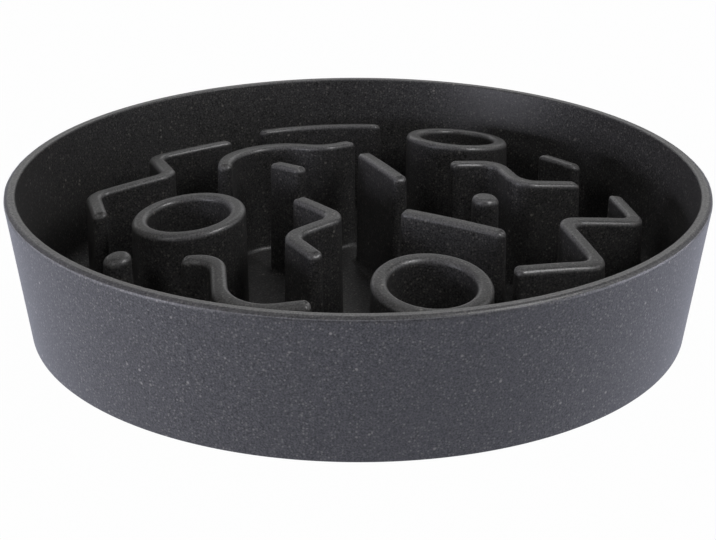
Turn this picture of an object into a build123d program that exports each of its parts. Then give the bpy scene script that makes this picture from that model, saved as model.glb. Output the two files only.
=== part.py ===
from build123d import *
import math
import os

# A round slow feeder bowl in moulded bamboo composite, millimetres, +Z up.
# The origin is the centre of the surface that the bowl stands on.
# The front of the bowl faces -Y.

# Bowl wall
rim_diameter = 251.0
bowl_height = 51.8
wall_flare = 6.8
wall_thickness = 4.3
rim_round = 1.5
base_edge_round = 1.5
floor_sweep = 8.0

# Floor
floor_thickness = 3.0
floor_seat_width = 0.8

# Anti-slip feet under the floor
foot_count = 4
foot_diameter = 16.0
foot_proud = 0.8
foot_seat_depth = 1.0
foot_seat_clearance = 0.15
foot_edge_round = 0.8
foot_inset = 15.5

# Maze: ridges, rings and pegs with their crests on a shallow dome
maze_margin = 3.55
crest_height = 45.5
crest_fall = 9.5
crest_round = 1.4
ridge_thickness = 5.6
ridge_end_round = 2.0
zigzag_bend = 5.0
arc_inset = 6.5
ring_radius = 17.3
peg_diameter = 9.8

# Levels and radii that follow from the sizes above
base_z = foot_proud
floor_z = base_z + floor_thickness
rim_z = base_z + bowl_height
crest_z = floor_z + crest_height

rim_radius = rim_diameter / 2
base_radius = rim_radius - wall_flare
wall_slope = wall_flare / bowl_height
inner_floor_radius = base_radius + wall_slope * (floor_z - base_z) - wall_thickness
floor_radius = inner_floor_radius - floor_sweep - floor_seat_width
foot_circle_radius = floor_radius - foot_inset

maze_radius = floor_radius - maze_margin
dome_radius = (maze_radius**2 + crest_fall**2) / (2 * crest_fall)

# The dome's seam points to the front gap, where no ridge stands
dome_centre = Location((0, 0, crest_z - dome_radius), (0, 0, -91))

# Corner points of each ridge's crest line, and the radius of the bend at each corner
ridge_lines = {
    "zigzag_ridge_left": (
        [(-91.6, -11.2), (-97.8, 13.4), (-70.4, 26.7), (-79.5, 55.3), (-50.6, 70.3)],
        [zigzag_bend] * 3,
    ),
    "zigzag_ridge_right": (
        [(94, 12.6), (99.6, -11.9), (71.6, -21.7), (81.3, -53.3), (51.3, -64.2)],
        [zigzag_bend] * 3,
    ),
    "zigzag_ridge_centre": (
        [(-21.9, -11.2), (-6.2, -29.3), (-23.6, -43.4), (-13.2, -59.4)],
        [zigzag_bend] * 2,
    ),
    "curved_ridge_front": ([(-58.7, -55.9), (-46.6, -57), (-42.9, -93), (-14.6, -89)], [8.0, 15.0]),
    "wave_ridge_back": ([(-50.1, 28), (-51.3, 66.8), (-13.5, 49.8), (-2.1, 58.6)], [19.0, 9.0]),
    "curved_ridge_right": ([(34.7, 30.2), (52.5, 35.2), (59.3, 11.7), (81.8, 20)], [6.0, 6.0]),
    "short_ridge_left": ([(-32, 29.6), (-20.2, 19.2)], []),
    "short_ridge_right": ([(71.2, 56), (84.6, 44)], []),
    "diagonal_ridge": ([(1.7, 40.5), (15.9, 7.4)], []),
    "straight_ridge": ([(15.1, -23.7), (50.4, -37.8)], []),
}
arc_start = 84.6
arc_sweep = 30.0
ring_centres = {"ring_left": (-59.3, -19.8), "ring_front": (23.9, -76.2), "ring_back": (39.3, 74.2)}
peg_centres = {"peg_left": (-81.1, -47.8), "peg_right": (45.4, -6)}

# The layout is spread until its outermost corner is at the reach of the maze
layout_reach = max(math.hypot(*corner) for corners, bends in ridge_lines.values() for corner in corners)
spread = maze_radius / layout_reach


def save(builder, label):
    builder.part.label = label
    export_step(builder.part, f"parts/{label}.step")


def shape_crest(body):
    """Cut the top of a maze piece to the dome and round its edges."""
    with Locations(dome_centre):
        Sphere(dome_radius, mode=Mode.INTERSECT)
    fillet(body.faces().sort_by(Axis.Z)[-1].edges(), crest_round)


def on_floor(point):
    return (point[0] * spread, point[1] * spread)


os.makedirs("parts", exist_ok=True)

# Tapered wall with its rim, its base ring and the sweep down to the floor
with BuildPart() as bowl_wall:
    with BuildSketch(Plane.XZ) as wall_section:
        with BuildLine():
            Polyline(
                (floor_radius, base_z),
                (base_radius, base_z),
                (rim_radius, rim_z),
                (rim_radius - wall_thickness, rim_z),
                (inner_floor_radius, floor_z),
                (floor_radius, floor_z),
                close=True,
            )
        make_face()
        corners = wall_section.vertices()
        fillet(corners.group_by(Axis.Y)[-1], rim_round)
        fillet(corners.group_by(Axis.Y)[0].sort_by(Axis.X)[-1], base_edge_round)
        fillet(corners.sort_by_distance((inner_floor_radius, floor_z))[0], floor_sweep)
    revolve(axis=Axis.Z)
save(bowl_wall, "bowl_wall")

# Floor disc inside the base ring, with round seats for the feet in its underside
with BuildPart() as bowl_floor:
    with BuildSketch(Plane.XY.offset(base_z)):
        Circle(floor_radius)
    extrude(amount=floor_thickness)
    with BuildSketch(Plane.XY.offset(base_z)):
        with PolarLocations(foot_circle_radius, foot_count, start_angle=180 / foot_count):
            Circle(foot_diameter / 2 + foot_seat_clearance)
    extrude(amount=foot_seat_depth, mode=Mode.SUBTRACT)
save(bowl_floor, "bowl_floor")

# Ridges along open crest lines
for label, (points, bends) in ridge_lines.items():
    ends = [on_floor(points[0]), on_floor(points[-1])]
    with BuildPart() as ridge:
        with BuildSketch(Plane.XY.offset(floor_z)) as footprint:
            with BuildLine():
                if bends:
                    FilletPolyline(
                        *[on_floor(point) for point in points],
                        radius=[bend * spread for bend in bends],
                    )
                else:
                    Line(*ends)
            trace(line_width=ridge_thickness)
            for end in ends:
                fillet(footprint.vertices().sort_by_distance(end)[:2], ridge_end_round)
        extrude(amount=crest_height)
        shape_crest(ridge)
    save(ridge, label)

# Back ridge, which follows the wall
with BuildPart() as arc_ridge_back:
    with BuildSketch(Plane.XY.offset(floor_z)) as footprint:
        with BuildLine() as crest_line:
            CenterArc((0, 0), maze_radius - arc_inset, arc_start, arc_sweep)
        ends = [crest_line.line @ 0, crest_line.line @ 1]
        trace(line_width=ridge_thickness)
        for end in ends:
            fillet(footprint.vertices().sort_by_distance(end)[:2], ridge_end_round)
    extrude(amount=crest_height)
    shape_crest(arc_ridge_back)
save(arc_ridge_back, "arc_ridge_back")

# Rings
for label, centre in ring_centres.items():
    with BuildPart() as ring:
        with BuildSketch(Plane.XY.offset(floor_z)):
            with Locations(on_floor(centre)):
                Circle(ring_radius + ridge_thickness / 2)
                Circle(ring_radius - ridge_thickness / 2, mode=Mode.SUBTRACT)
        extrude(amount=crest_height)
        shape_crest(ring)
    save(ring, label)

# Pegs
for label, centre in peg_centres.items():
    with BuildPart() as peg:
        with BuildSketch(Plane.XY.offset(floor_z)):
            with Locations(on_floor(centre)):
                Circle(peg_diameter / 2)
        extrude(amount=crest_height)
        shape_crest(peg)
    save(peg, label)

# Feet, seated in the floor's underside
foot_height = foot_proud + foot_seat_depth
for index in range(foot_count):
    angle = math.radians(360 / foot_count * (index + 0.5))
    place = (foot_circle_radius * math.cos(angle), foot_circle_radius * math.sin(angle))
    with BuildPart() as foot:
        with BuildSketch():
            with Locations(place):
                Circle(foot_diameter / 2)
        extrude(amount=foot_height)
        fillet(foot.faces().sort_by(Axis.Z)[0].edges(), foot_edge_round)
    save(foot, f"antislip_foot_{index + 1}")
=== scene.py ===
import math
from collections import namedtuple

import bmesh
import bpy
from mathutils import Matrix, Vector, noise


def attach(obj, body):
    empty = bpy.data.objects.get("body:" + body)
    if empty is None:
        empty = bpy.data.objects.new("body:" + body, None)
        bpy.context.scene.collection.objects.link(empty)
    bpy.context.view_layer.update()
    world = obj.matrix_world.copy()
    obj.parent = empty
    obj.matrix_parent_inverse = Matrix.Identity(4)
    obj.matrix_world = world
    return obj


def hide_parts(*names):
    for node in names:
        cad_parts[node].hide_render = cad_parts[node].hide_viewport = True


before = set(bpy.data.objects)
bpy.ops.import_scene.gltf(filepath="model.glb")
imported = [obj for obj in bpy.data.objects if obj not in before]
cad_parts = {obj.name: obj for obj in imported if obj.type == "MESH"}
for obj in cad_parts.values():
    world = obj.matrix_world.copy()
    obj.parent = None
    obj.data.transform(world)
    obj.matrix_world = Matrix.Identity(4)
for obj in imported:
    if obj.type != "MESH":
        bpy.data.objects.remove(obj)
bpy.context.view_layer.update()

# A slow feeder bowl. Its lengths are in millimetres, and become metres when a mesh is made.
# The front of the bowl faces -Y, and the origin is on the surface that it stands on.
MM = 0.001

# Bowl wall
rim_diameter = 251.0
bowl_height = 51.8
wall_flare = 6.8
wall_thickness = 4.3
base_edge_round = 0.5
base_ring_middle = 112.0
floor_sweep = 8.0

# Lip: a flat top between a quarter round outside and a smaller round inside
lip_reach = 125.27
lip_round = 1.9
lip_flat_radii = (122.9, 122.4)
lip_inner_round = 0.8

# Floor, and the feet under it
foot_proud = 0.8
floor_thickness = 3.0
floor_seat_width = 0.8

# Maze: every piece has a hollow foot, a slight draft and a rounded crest on one shallow dome
maze_margin = 3.55
crest_height = 45.5
crest_fall = 9.5
ridge_thickness = 5.6
foot_round = 2.1
foot_draft = 0.5
crest_draft = -0.1
crest_round = 1.7
ring_crest_round = 1.9
peg_crest_round = 2.3
end_round = 2.5
end_fall = 0.5
peg_fall = 0.4
bend_fill = 2.0
zigzag_bend = 5.0
arc_inset = 6.5
arc_start = 84.6
arc_sweep = 30.0
ring_radius = 17.3
peg_diameter = 9.8

# Corners of each ridge's crest line, and the bend at each corner, drawn for a spread of 1
ridge_lines = {
    "zigzag_ridge_left": (
        [(-91.6, -11.2), (-97.8, 13.4), (-70.4, 26.7), (-79.5, 55.3), (-50.6, 70.3)],
        [zigzag_bend] * 3,
    ),
    "zigzag_ridge_right": (
        [(94, 12.6), (99.6, -11.9), (71.6, -21.7), (81.3, -53.3), (51.3, -64.2)],
        [zigzag_bend] * 3,
    ),
    "zigzag_ridge_centre": (
        [(-21.9, -11.2), (-6.2, -29.3), (-23.6, -43.4), (-13.2, -59.4)],
        [zigzag_bend] * 2,
    ),
    "curved_ridge_front": ([(-58.7, -55.9), (-46.6, -57), (-42.9, -93), (-14.6, -89)], [8.0, 15.0]),
    "wave_ridge_back": ([(-50.1, 28), (-51.3, 66.8), (-13.5, 49.8), (-2.1, 58.6)], [19.0, 9.0]),
    "curved_ridge_right": ([(34.7, 30.2), (52.5, 35.2), (59.3, 11.7), (81.8, 20)], [6.0, 6.0]),
    "short_ridge_left": ([(-32, 29.6), (-20.2, 19.2)], []),
    "short_ridge_right": ([(71.2, 56), (84.6, 44)], []),
    "diagonal_ridge": ([(1.7, 40.5), (15.9, 7.4)], []),
    "straight_ridge": ([(15.1, -23.7), (50.4, -37.8)], []),
}
ring_centres = {"ring_left": (-59.3, -19.8), "ring_front": (23.9, -76.2), "ring_back": (39.3, 74.2)}
peg_centres = {"peg_left": (-81.1, -47.8), "peg_right": (45.4, -6)}

# Painted highlight, from 0 to 1: how far a spot where light catches the crests and the rim is painted
# paler and made glossier
crest_flat_highlight = 0.1
crest_edge_highlight = 1.0
crest_highlight_depth = 0.6
lip_flat_highlight = 0.75

# Steps round the lip's outer edge: angle, stand of the parting line's bead, play of its flash, painted
# highlight
lip_profile = (
    (0, 0, 0, 0),
    (12, 0, 0, 0),
    (22, 0, 0, 0.2),
    (26, 0, 0, 0.8),
    (28, 0.06, 0.6, 1),
    (30, 0.08, 1, 1),
    (32, 0.06, 0.6, 1),
    (34, 0, 0, 0.6),
    (38, 0, 0, 0.3),
    (50, 0, 0, 0.35),
    (62, 0, 0, 0.4),
    (74, 0, 0, 0.6),
    (82, 0, 0, 1),
    (90, 0, 0, 1),
)

# Flash on the parting line: its height, and the waves in which it comes and goes round the rim
flash_height = 0.1
flash_waves = 30
flash_middle = 0.5
flash_swing = 0.9
flash_seed = 0.7

# Fineness of the meshes: numbers of steps, the length and angle of one step, and levels on the way up
wall_segments = 720
ring_segments = 120
peg_segments = 64
arc_steps = 30
foot_steps = 6
crest_steps = 7
end_steps = 9
base_edge_steps = 8
lip_inner_steps = 10
sweep_steps = 14
least_straight_steps = 2
straight_step = 2.5
least_bend_steps = 6
bend_step = 6
side_shares = (0.25, 0.5, 0.75)
outside_heights = (8, 14, 20, 26, 32, 38, 43, 47, 49.5)
inside_heights = (46, 40, 34, 28, 22, 16)

# Edges that turn by more degrees than this stay sharp
crease_angle = 50

# Levels and radii that follow from the sizes above
base_z = foot_proud
floor_z = base_z + floor_thickness
rim_z = base_z + bowl_height
crest_z = floor_z + crest_height
base_radius = rim_diameter / 2 - wall_flare
wall_slope = wall_flare / bowl_height
inner_floor_radius = base_radius + wall_slope * floor_thickness - wall_thickness
floor_radius = inner_floor_radius - floor_sweep - floor_seat_width
maze_radius = floor_radius - maze_margin
dome_radius = (maze_radius**2 + crest_fall**2) / (2 * crest_fall)
arc_radius = maze_radius - arc_inset
half_thickness = ridge_thickness / 2
peg_radius = peg_diameter / 2

# The layout is spread until its outermost corner is at the reach of the maze
layout_reach = max(math.hypot(*corner) for corners, bends in ridge_lines.values() for corner in corners)
spread = maze_radius / layout_reach

# The camera of the photograph, in metres, degrees and millimetres of film
camera_place = (0.0, -0.6028, 0.2660)
camera_down = 22.534
camera_roll = 0.106
camera_lens = 89.5
camera_film = 36.0

# The studio, in metres: a wide floor of white board that throws back a faintly cool light
studio_floor_reach = 6.0
plain_white_share = 0.985
white = "#ffffff"
cool_board = "#e8ecff"
cool_lamp = "#f2f2ff"

# Soft boxes: name, place, height that they aim at over the origin, width, height, watts, colour.
# The strips are as low as the wall, so that they light its outside and not the maze
soft_boxes = (
    ("soft_box_back", (0, 1.1, 0.5), 0.05, 2.0, 0.4, 2.15, white),
    ("soft_box_high_back", (0.1, 0.95, 0.95), 0.05, 0.7, 0.5, 1.2, white),
    ("soft_box_over", (0, 0.1, 1.3), 0.05, 0.8, 0.8, 1.05, white),
    ("soft_box_high_left", (-0.75, -0.7, 0.8), 0.05, 0.4, 0.4, 1.05, white),
    ("soft_box_high_right", (0.75, -0.7, 0.8), 0.05, 0.4, 0.4, 1.45, white),
    ("soft_box_upper_right", (1.1, 0.1, 0.7), 0.05, 0.8, 0.5, 1.3, white),
    ("soft_box_right", (0.8, 0.0, 0.16), 0.06, 0.8, 0.3, 0.35, cool_lamp),
    ("soft_box_low_left", (-0.85, -0.6, 0.14), 0.04, 0.5, 0.25, 3.6, cool_lamp),
    ("glint_right", (0.68, -0.33, 0.98), 0.05, 0.4, 0.4, 5.0, white),
    ("strip_left", (-0.7, -0.1, 0.03), 0.03, 0.6, 0.05, 1.05, cool_lamp),
    ("strip_right", (0.7, -0.1, 0.03), 0.03, 0.6, 0.05, 1.7, cool_lamp),
)

# Sockets of a colour mix: its two colours and its result
MIX_A = 6
MIX_B = 7
MIX_RESULT = 2

# The middle of a noise texture's range, where nearly all of its values lie
NOISE_LOW = 0.3
NOISE_HIGH = 0.7

# A spot of a plan outline: its place, its outward normal and how far the crest falls there
Spot = namedtuple("Spot", "x y nx ny fall", defaults=(0.0,))

# A level of a maze piece: its offset from the side, its share of the way from floor to crest,
# its shift from there, and its painted highlight
Level = namedtuple("Level", "offset share shift rub", defaults=(0.0,))

# A spot of the wall's section: its radius and height, the play of the flash there, and its painted
# highlight
WallSpot = namedtuple("WallSpot", "radius height play rub", defaults=(0.0, 0.0))


def linear(colour):
    """An sRGB hex colour as linear red, green, blue and alpha."""
    shares = [int(colour[i : i + 2], 16) / 255 for i in (1, 3, 5)]
    return [s / 12.92 if s <= 0.04045 else ((s + 0.055) / 1.055) ** 2.4 for s in shares] + [1.0]


def add_node(tree, kind, inputs=None, **settings):
    """Add a node with its settings. An input is a value or a socket to link from."""
    made = tree.nodes.new(kind)
    for name, value in settings.items():
        setattr(made, name, value)
    for name, value in (inputs or {}).items():
        if isinstance(value, bpy.types.NodeSocket):
            tree.links.new(value, made.inputs[name])
        else:
            made.inputs[name].default_value = value
    return made


def new_finish(name):
    """A node material with an empty tree, and that tree."""
    finish = bpy.data.materials.new(name)
    finish.use_nodes = True
    finish.node_tree.nodes.clear()
    return finish, finish.node_tree


def pressed_bamboo_composite():
    """Bamboo fibre in a charcoal resin, pressed hot in a blasted steel mould.

    The blasted mould leaves an even matt skin with a soft sheen at grazing angles. Ground fibre shows
    in it as a fine mottle and as scattered pale specks. Crests and rim are glossier, and painted paler
    as a painted highlight.
    """
    finish, tree = new_finish("pressed_bamboo_composite")
    place = add_node(tree, "ShaderNodeTexCoord").outputs["Object"]

    # Fibre flour gives the mottle, and wide drifts of it the clouding
    resin_charcoal = "#181717"
    flour_grey = "#6a6969"
    drift_grey = "#504f4f"
    flour_width = 0.6 * MM
    drift_width = 30 * MM
    drift_cover = 0.25
    mottle = add_node(
        tree,
        "ShaderNodeTexNoise",
        {"Vector": place, "Scale": 1 / flour_width, "Detail": 2.0, "Roughness": 0.6},
    )
    mottle_range = add_node(
        tree,
        "ShaderNodeMapRange",
        {"Value": mottle.outputs["Fac"], "From Min": NOISE_LOW, "From Max": NOISE_HIGH},
    )
    ground = add_node(
        tree,
        "ShaderNodeMix",
        {
            "Factor": mottle_range.outputs["Result"],
            MIX_A: linear(resin_charcoal),
            MIX_B: linear(flour_grey),
        },
        data_type="RGBA",
    )
    clouds = add_node(
        tree,
        "ShaderNodeTexNoise",
        {"Vector": place, "Scale": 1 / drift_width, "Detail": 2.0, "Roughness": 0.5},
    )
    cloud_range = add_node(
        tree,
        "ShaderNodeMapRange",
        {
            "Value": clouds.outputs["Fac"],
            "From Min": NOISE_LOW,
            "From Max": NOISE_HIGH,
            "To Max": drift_cover,
        },
    )
    clouded = add_node(
        tree,
        "ShaderNodeMix",
        {
            "Factor": cloud_range.outputs["Result"],
            MIX_A: ground.outputs[MIX_RESULT],
            MIX_B: linear(drift_grey),
        },
        data_type="RGBA",
    )

    # Painted highlight: the crests and the rim are painted paler where light catches them, and the
    # mottle still shows there
    highlight_resin = "#797878"
    highlight_flour = "#a9a8a8"
    highlight_cover = 0.75
    rub = add_node(tree, "ShaderNodeAttribute", attribute_name="rub")
    highlight_share = add_node(tree, "ShaderNodeMapRange", {"Value": rub.outputs["Fac"], "To Max": highlight_cover})
    highlight_ground = add_node(
        tree,
        "ShaderNodeMix",
        {
            "Factor": mottle_range.outputs["Result"],
            MIX_A: linear(highlight_resin),
            MIX_B: linear(highlight_flour),
        },
        data_type="RGBA",
    )
    highlighted = add_node(
        tree,
        "ShaderNodeMix",
        {
            "Factor": highlight_share.outputs["Result"],
            MIX_A: clouded.outputs[MIX_RESULT],
            MIX_B: highlight_ground.outputs[MIX_RESULT],
        },
        data_type="RGBA",
    )

    # Pale specks: fibre dust all over, and a few ends of fibre. Both are drawn over their real size,
    # 0.1 to 0.3 mm, so that they show. A kind has its spacing and size in millimetres, the share of its
    # places that hold a speck, and how far the palest one covers the ground
    fibre_pale = "#b9b4ac"
    fibre_dust = (1.1, 0.7, 0.8, 0.4)
    fibre_ends = (4.0, 1.0, 0.45, 0.8)
    speck_core = 0.6
    speck_fade = 1.3
    colour = highlighted.outputs[MIX_RESULT]
    for spacing, size, share, palest in (fibre_dust, fibre_ends):
        cells = add_node(tree, "ShaderNodeTexVoronoi", {"Vector": place, "Scale": 1 / (spacing * MM)})
        edge = size / 2 / spacing
        speck = add_node(
            tree,
            "ShaderNodeMapRange",
            {
                "Value": cells.outputs["Distance"],
                "From Min": edge * speck_core,
                "From Max": edge * speck_fade,
                "To Min": 1.0,
                "To Max": 0.0,
            },
        )
        chance = add_node(tree, "ShaderNodeSeparateColor", {"Color": cells.outputs["Color"]})
        paleness = add_node(
            tree,
            "ShaderNodeMapRange",
            {"Value": chance.outputs["Red"], "From Min": 1.0 - share, "To Max": palest},
        )
        mask = add_node(
            tree,
            "ShaderNodeMath",
            {0: speck.outputs["Result"], 1: paleness.outputs["Result"]},
            operation="MULTIPLY",
        )
        colour = add_node(
            tree,
            "ShaderNodeMix",
            {"Factor": mask.outputs["Value"], MIX_A: colour, MIX_B: linear(fibre_pale)},
            data_type="RGBA",
        ).outputs[MIX_RESULT]

    # The blasted skin has pits, drawn coarser than the real ones, and is glossier under the painted
    # highlight
    pit_width = 0.5 * MM
    pit_depth = 0.08 * MM
    resin_dullness = 0.38
    flour_dullness = 0.46
    highlight_gloss = -0.12
    pits = add_node(
        tree,
        "ShaderNodeTexNoise",
        {"Vector": place, "Scale": 1 / pit_width, "Detail": 2.0, "Roughness": 0.6},
    )
    skin = add_node(
        tree,
        "ShaderNodeBump",
        {"Height": pits.outputs["Fac"], "Strength": 0.25, "Distance": pit_depth},
    )
    dullness = add_node(
        tree,
        "ShaderNodeMapRange",
        {
            "Value": mottle.outputs["Fac"],
            "From Min": NOISE_LOW,
            "From Max": NOISE_HIGH,
            "To Min": resin_dullness,
            "To Max": flour_dullness,
        },
    )
    sheen = add_node(
        tree,
        "ShaderNodeMath",
        {0: rub.outputs["Fac"], 1: highlight_gloss, 2: dullness.outputs["Result"]},
        operation="MULTIPLY_ADD",
    )
    body = add_node(
        tree,
        "ShaderNodeBsdfPrincipled",
        {
            "Base Color": colour,
            "Roughness": sheen.outputs["Value"],
            "IOR": 1.5,
            "Normal": skin.outputs["Normal"],
        },
    )
    add_node(tree, "ShaderNodeOutputMaterial", {"Surface": body.outputs["BSDF"]})
    return finish


def moulded_silicone():
    """Black silicone rubber, moulded with a satin skin that gathers a little dust."""
    finish, tree = new_finish("moulded_silicone_rubber")
    place = add_node(tree, "ShaderNodeTexCoord").outputs["Object"]
    clean_black = "#1d1d1f"
    dusty_black = "#2e2d2e"
    clean_dullness = 0.55
    dusty_dullness = 0.75
    dust_width = 1.5 * MM
    dust_depth = 0.05 * MM
    dust = add_node(
        tree,
        "ShaderNodeTexNoise",
        {"Vector": place, "Scale": 1 / dust_width, "Detail": 4.0, "Roughness": 0.65},
    )
    colour = add_node(
        tree,
        "ShaderNodeMix",
        {"Factor": dust.outputs["Fac"], MIX_A: linear(clean_black), MIX_B: linear(dusty_black)},
        data_type="RGBA",
    )
    dullness = add_node(
        tree,
        "ShaderNodeMapRange",
        {
            "Value": dust.outputs["Fac"],
            "From Min": NOISE_LOW,
            "From Max": NOISE_HIGH,
            "To Min": clean_dullness,
            "To Max": dusty_dullness,
        },
    )
    skin = add_node(
        tree,
        "ShaderNodeBump",
        {"Height": dust.outputs["Fac"], "Strength": 0.2, "Distance": dust_depth},
    )
    body = add_node(
        tree,
        "ShaderNodeBsdfPrincipled",
        {
            "Base Color": colour.outputs[MIX_RESULT],
            "Roughness": dullness.outputs["Result"],
            "IOR": 1.41,
            "Normal": skin.outputs["Normal"],
        },
    )
    add_node(tree, "ShaderNodeOutputMaterial", {"Surface": body.outputs["BSDF"]})
    return finish


composite = pressed_bamboo_composite()
silicone = moulded_silicone()


def finish_piece(name, points, faces, painted_highlights):
    """Make a closed composite mesh, with a painted highlight for each point, that stands in for a CAD
    node.
    """
    mesh = bpy.data.meshes.new("dressed_" + name)
    mesh.from_pydata([Vector(point) * MM for point in points], [], faces)
    mesh.attributes.new("rub", "FLOAT", "POINT").data.foreach_set("value", painted_highlights)
    work = bmesh.new()
    work.from_mesh(mesh)
    bmesh.ops.recalc_face_normals(work, faces=work.faces)
    work.to_mesh(mesh)
    work.free()
    mesh.shade_smooth()
    mesh.set_sharp_from_angle(angle=math.radians(crease_angle))
    mesh.materials.append(composite)
    piece = bpy.data.objects.new("dressed_" + name, mesh)
    bpy.context.scene.collection.objects.link(piece)
    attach(piece, "root")
    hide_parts(name)


def carried_faces(segments, count):
    """Faces of a closed section of that many points, carried all the way round."""
    faces = []
    for i in range(segments):
        j = (i + 1) % segments
        for k in range(count):
            m = (k + 1) % count
            faces.append((i * count + k, j * count + k, j * count + m, i * count + m))
    return faces


def turn_between(into, out):
    """Angle by which a line turns from one way to another, left turns above zero."""
    return math.atan2(into.x * out.y - into.y * out.x, into.dot(out))


def dome(x, y):
    """Height of the maze's crests above a point of the floor."""
    return crest_z - dome_radius + math.sqrt(dome_radius**2 - x * x - y * y)


def level_height(x, y, level):
    """Height of a level of the maze above a point of the floor."""
    return floor_z + level.share * (dome(x, y) - floor_z) + level.shift


def maze_levels(crest):
    """Levels from a hollow foot, up a drafted side and over a crest of that rounding."""
    levels = []
    for step in range(foot_steps + 1):
        turn = math.radians(90 * step / foot_steps)
        outward = foot_round * (1 - math.sin(turn))
        levels.append(Level(foot_draft + outward, 0.0, foot_round * (1 - math.cos(turn))))
    for share in side_shares:
        levels.append(Level(foot_draft + (crest_draft - foot_draft) * share, share, 0.0))
    levels.append(Level(crest_draft, 1.0, -crest - crest_highlight_depth))
    for step in range(crest_steps + 1):
        turn = math.radians(90 * step / crest_steps)
        inward = crest * (1 - math.cos(turn))
        down = crest * (1 - math.sin(turn))
        # The painted highlight is strongest on the crest's rounded edges and weakest on its flat top
        rub = crest_flat_highlight + (crest_edge_highlight - crest_flat_highlight) * math.sin(2 * turn)
        levels.append(Level(crest_draft - inward, 1.0, -down, rub))
    return levels


def stack(loop, levels):
    """Points, side faces and painted highlights of a closed loop of spots, carried up through the
    levels.
    """
    points = []
    for level in levels:
        for spot in loop:
            x = spot.x + spot.nx * level.offset
            y = spot.y + spot.ny * level.offset
            points.append((x, y, level_height(x, y, level) - spot.fall * level.share))
    count = len(loop)
    faces = []
    for low in range(0, (len(levels) - 1) * count, count):
        for i in range(count):
            j = (i + 1) % count
            faces.append((low + i, low + count + i, low + count + j, low + j))
    painted_highlights = [level.rub for level in levels for spot in loop]
    return points, faces, painted_highlights


def straight_spots(start, end, normal, length):
    """Spots on a straight run of a ridge's side, without its end.

    The length of the crest line sets their number, so that both sides have as many.
    """
    steps = max(least_straight_steps, round(length / straight_step))
    return [Spot(*start.lerp(end, step / steps), *normal) for step in range(steps)]


def ridge_side(corners, bends, side):
    """Spots along one side of a ridge, left for 1 and right for -1.

    The inside of a bend is rounder than an even thickness would make it.
    """
    corners = [Vector(corner) * spread for corner in corners]
    ways = [(b - a).normalized() for a, b in zip(corners, corners[1:])]
    lefts = [Vector((-way.y, way.x)) for way in ways]
    lengths = [(b - a).length for a, b in zip(corners, corners[1:])]
    start = corners[0] + ways[0] * end_round + lefts[0] * half_thickness * side
    spots = []
    for i, bend in enumerate(bends):
        turn = turn_between(ways[i], ways[i + 1])
        hand = math.copysign(1, turn)
        thickness_share = bend_fill - half_thickness if hand == side else half_thickness
        radius = bend * spread + thickness_share
        tangent = radius * math.tan(abs(turn) / 2)
        middle = (lefts[i] + lefts[i + 1]).normalized()
        corner = corners[i + 1] + middle * half_thickness * side / math.cos(turn / 2)
        arc_from = corner - ways[i] * tangent
        spots += straight_spots(start, arc_from, lefts[i] * side, lengths[i])
        centre = arc_from + lefts[i] * radius * hand
        steps = max(least_bend_steps, round(abs(math.degrees(turn)) / bend_step))
        for step in range(steps):
            swing = Matrix.Rotation(turn * step / steps, 2)
            place = centre + swing @ (arc_from - centre)
            normal = swing @ lefts[i] * side
            spots.append(Spot(*place, *normal))
        start = corner + ways[i + 1] * tangent
    normal = lefts[-1] * side
    end = corners[-1] - ways[-1] * end_round + normal * half_thickness
    spots += straight_spots(start, end, normal, lengths[-1])
    spots.append(Spot(*end, *normal))
    return spots


def arc_side(side):
    """Spots along one side of the back ridge, which follows the wall."""
    trim = math.degrees(end_round / arc_radius)
    spots = []
    for i in range(arc_steps + 1):
        angle = math.radians(arc_start + trim + (arc_sweep - 2 * trim) * i / arc_steps)
        inward = -Vector((math.cos(angle), math.sin(angle)))
        place = inward * (half_thickness * side - arc_radius)
        spots.append(Spot(*place, *inward * side))
    return spots


def round_end(last):
    """Spots round a ridge's end, from the last spot of one side to the first of the other."""
    across = Vector((last.nx, last.ny))
    along = Vector((across.y, -across.x))
    corner = half_thickness - end_round
    middle = Vector((last.x, last.y)) - across * half_thickness
    spots = []
    for side, steps in ((1, range(1, end_steps)), (-1, range(end_steps - 1, 0, -1))):
        centre = middle + across * corner * side
        for step in steps:
            angle = math.radians(90 * step / end_steps)
            normal = across * math.cos(angle) * side + along * math.sin(angle)
            fall = end_fall * (1 - math.cos(angle))
            spots.append(Spot(*(centre + normal * end_round), *normal, fall))
    return spots


def build_ridge(name, left, right):
    """A ridge between its left and right sides, which have their spots in pairs."""
    far = round_end(left[-1])
    near = round_end(right[0])
    loop = left + far + right[::-1] + near
    levels = maze_levels(crest_round)
    points, faces, painted_highlights = stack(loop, levels)
    run = len(left)
    far_stop = run + len(far)
    near_start = far_stop + run
    right_at = [near_start - 1 - i for i in range(run)]

    # The underside and the crest are strips from side to side, with one face at each end
    for start in (0, (len(levels) - 1) * len(loop)):
        for i in range(run - 1):
            faces.append((start + i, start + i + 1, start + right_at[i + 1], start + right_at[i]))
        faces.append(tuple(start + i for i in range(run - 1, far_stop + 1)))
        faces.append(tuple(start + i for i in range(near_start - 1, len(loop))) + (start,))
    finish_piece(name, points, faces, painted_highlights)


def build_ring(name, centre):
    """A ring is one closed section carried round its centre."""
    cx, cy = Vector(centre) * spread
    levels = maze_levels(ring_crest_round)
    section = [(ring_radius + half_thickness + level.offset, level) for level in levels]
    section += [(ring_radius - half_thickness - level.offset, level) for level in reversed(levels)]
    points = []
    for i in range(ring_segments):
        angle = 2 * math.pi * i / ring_segments
        for radius, level in section:
            x = cx + radius * math.cos(angle)
            y = cy + radius * math.sin(angle)
            points.append((x, y, level_height(x, y, level)))
    painted_highlights = [level.rub for radius, level in section] * ring_segments
    finish_piece(name, points, carried_faces(ring_segments, len(section)), painted_highlights)


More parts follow.
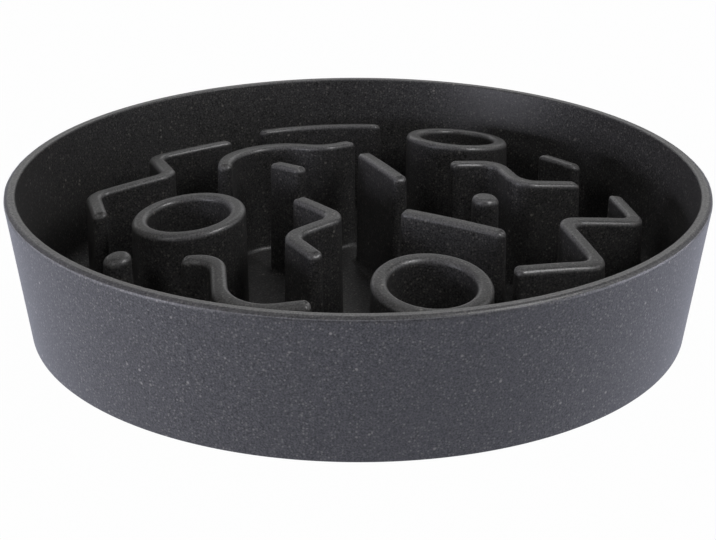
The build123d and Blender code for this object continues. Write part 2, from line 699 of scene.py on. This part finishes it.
def build_peg(name, centre):
    """A peg is a circle carried up, with one face under it and one on top."""
    cx, cy = Vector(centre) * spread
    loop = []
    for i in range(peg_segments):
        angle = 2 * math.pi * i / peg_segments
        nx = math.cos(angle)
        ny = math.sin(angle)
        loop.append(Spot(cx + nx * peg_radius, cy + ny * peg_radius, nx, ny, peg_fall))
    points, faces, painted_highlights = stack(loop, maze_levels(peg_crest_round))
    faces.append(tuple(range(peg_segments)))
    faces.append(tuple(range(len(points) - peg_segments, len(points))))
    finish_piece(name, points, faces, painted_highlights)


def wall_line(z):
    """Radius of the tapered outside of the wall."""
    return base_radius + wall_slope * (z - base_z)


def rounded_corner(before, corner, after, radius, steps):
    """Places along a rounded corner of a section."""
    into = (corner - before).normalized()
    out = (after - corner).normalized()
    turn = turn_between(into, out)
    start = corner - into * radius * math.tan(abs(turn) / 2)
    centre = start + Vector((-into.y, into.x)) * radius * math.copysign(1, turn)
    return [centre + Matrix.Rotation(turn * i / steps, 2) @ (start - centre) for i in range(steps + 1)]


def wall_section():
    """The wall's closed section, from the edge of the floor up the outside and down the inside."""
    floor_edge = Vector((floor_radius, floor_z))
    base_inside = Vector((floor_radius, base_z))
    base_outside = Vector((base_radius, base_z))
    rim_outside = Vector((wall_line(rim_z), rim_z))
    rim_inside = Vector((wall_line(rim_z) - wall_thickness, rim_z))
    floor_inside = Vector((inner_floor_radius, floor_z))

    section = [WallSpot(floor_radius, floor_z), WallSpot(floor_radius, base_z)]
    section.append(WallSpot(base_ring_middle, base_z))
    base_edge = rounded_corner(base_inside, base_outside, rim_outside, base_edge_round, base_edge_steps)
    section += [WallSpot(*place) for place in base_edge]
    section += [WallSpot(wall_line(z), z) for z in outside_heights]

    # The lip, with the mould's parting line as a fine broken bead on its outer edge. Its outer round,
    # the bead, its top and its inner round carry a painted highlight
    lip_centre = Vector((lip_reach - lip_round, rim_z - lip_round))
    for angle, stand, play, rub in lip_profile:
        reach = Matrix.Rotation(math.radians(angle), 2) @ Vector((lip_round + stand, 0))
        section.append(WallSpot(*(lip_centre + reach), play, rub))
    section += [WallSpot(radius, rim_z, 0.0, lip_flat_highlight) for radius in lip_flat_radii]
    lip_top = Vector((lip_flat_radii[-1], rim_z))
    lip_edge = rounded_corner(lip_top, rim_inside, floor_inside, lip_inner_round, lip_inner_steps)
    section += [WallSpot(*place, 0.0, 1 - i / lip_inner_steps) for i, place in enumerate(lip_edge)]

    section += [WallSpot(wall_line(z) - wall_thickness, z) for z in inside_heights]
    sweep = rounded_corner(rim_inside, floor_inside, floor_edge, floor_sweep, sweep_steps)
    section += [WallSpot(*place) for place in sweep]
    return section


def build_wall():
    """The wall is one closed section carried round, with flash that comes and goes on its lip."""
    section = wall_section()
    points = []
    for i in range(wall_segments):
        angle = 2 * math.pi * i / wall_segments
        outward = Vector((math.cos(angle), math.sin(angle)))
        wander = noise.noise(Vector((outward.x * flash_waves, outward.y * flash_waves, flash_seed)))
        flash = min(1.0, max(0.0, flash_middle + wander * flash_swing))
        for spot in section:
            grown = spot.radius + flash_height * spot.play * flash
            points.append((outward.x * grown, outward.y * grown, spot.height))
    painted_highlights = [spot.rub for spot in section] * wall_segments
    finish_piece("bowl_wall", points, carried_faces(wall_segments, len(section)), painted_highlights)


build_wall()
for name, (corners, bends) in ridge_lines.items():
    build_ridge(name, ridge_side(corners, bends, 1), ridge_side(corners, bends, -1))
build_ridge("arc_ridge_back", arc_side(1), arc_side(-1))
for name, centre in ring_centres.items():
    build_ring(name, centre)
for name, centre in peg_centres.items():
    build_peg(name, centre)

# The floor and the feet keep their CAD shape
for name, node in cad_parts.items():
    if name == "bowl_floor" or name.startswith("antislip_foot"):
        node.data.materials.clear()
        node.data.materials.append(composite if name == "bowl_floor" else silicone)


def set_camera():
    """The camera of the photograph, in front of the bowl and looking down on it."""
    camera = bpy.data.objects.new("photo_camera", bpy.data.cameras.new("photo_camera"))
    camera.data.sensor_width = camera_film
    camera.data.lens = camera_lens
    tilt = Matrix.Rotation(math.radians(90 - camera_down), 4, "X")
    roll = Matrix.Rotation(math.radians(camera_roll), 4, "Z")
    camera.matrix_world = Matrix.Translation(camera_place) @ tilt @ roll
    bpy.context.scene.collection.objects.link(camera)
    bpy.context.scene.camera = camera


def white_painted_board():
    """White painted board, which shows as plain white and keeps a little shading for the shadow.

    Reflections and bounced light see it faintly cool, as daylight makes it.
    """
    finish, tree = new_finish("white_painted_board")
    path = add_node(tree, "ShaderNodeLightPath")
    seen = add_node(
        tree,
        "ShaderNodeMath",
        {0: path.outputs["Is Camera Ray"], 1: path.outputs["Is Glossy Ray"]},
        operation="MAXIMUM",
    )
    share = add_node(
        tree,
        "ShaderNodeMath",
        {0: seen.outputs["Value"], 1: plain_white_share},
        operation="MULTIPLY",
    )
    tint = add_node(
        tree,
        "ShaderNodeMix",
        {"Factor": path.outputs["Is Camera Ray"], MIX_A: linear(cool_board), MIX_B: linear(white)},
        data_type="RGBA",
    )
    paint = add_node(tree, "ShaderNodeBsdfDiffuse", {"Color": linear(cool_board)})
    plain = add_node(tree, "ShaderNodeEmission", {"Color": tint.outputs[MIX_RESULT], "Strength": 1.0})
    mixed = add_node(
        tree,
        "ShaderNodeMixShader",
        {0: share.outputs["Value"], 1: paint.outputs["BSDF"], 2: plain.outputs["Emission"]},
    )
    add_node(tree, "ShaderNodeOutputMaterial", {"Surface": mixed.outputs["Shader"]})
    return finish


def lay_floor():
    """A flat floor of white board, under the bowl and far past it."""
    reach = studio_floor_reach
    mesh = bpy.data.meshes.new("studio_floor")
    corners = [(-reach, -reach, 0), (reach, -reach, 0), (reach, reach, 0), (-reach, reach, 0)]
    mesh.from_pydata(corners, [], [(0, 1, 2, 3)])
    mesh.materials.append(white_painted_board())
    floor = bpy.data.objects.new("studio_floor", mesh)
    bpy.context.scene.collection.objects.link(floor)


def set_surroundings():
    """Surroundings that look white and give no light, because the soft boxes give it all."""
    world = bpy.data.worlds.new("white_studio")
    world.use_nodes = True
    tree = world.node_tree
    tree.nodes.clear()
    path = add_node(tree, "ShaderNodeLightPath")
    sky = add_node(
        tree,
        "ShaderNodeBackground",
        {"Color": linear(white), "Strength": path.outputs["Is Camera Ray"]},
    )
    add_node(tree, "ShaderNodeOutputWorld", {"Surface": sky.outputs["Background"]})
    bpy.context.scene.world = world


def set_lamps():
    """Soft boxes all round, out of the camera's sight."""
    for name, place, aim, width, height, watts, colour in soft_boxes:
        lamp = bpy.data.lights.new(name, "AREA")
        lamp.color = linear(colour)[:3]
        lamp.shape = "RECTANGLE"
        lamp.size = width
        lamp.size_y = height
        lamp.energy = watts
        box = bpy.data.objects.new(name, lamp)
        box.location = place
        box.rotation_euler = (Vector((0, 0, aim)) - Vector(place)).to_track_quat("-Z", "Y").to_euler()
        box.visible_camera = False
        bpy.context.scene.collection.objects.link(box)

    # The glint only draws gloss, on the edges that face the front and the right
    bpy.data.objects["glint_right"].visible_diffuse = False


set_camera()
lay_floor()
set_surroundings()
set_lamps()
bpy.context.scene.view_settings.view_transform = "Standard"
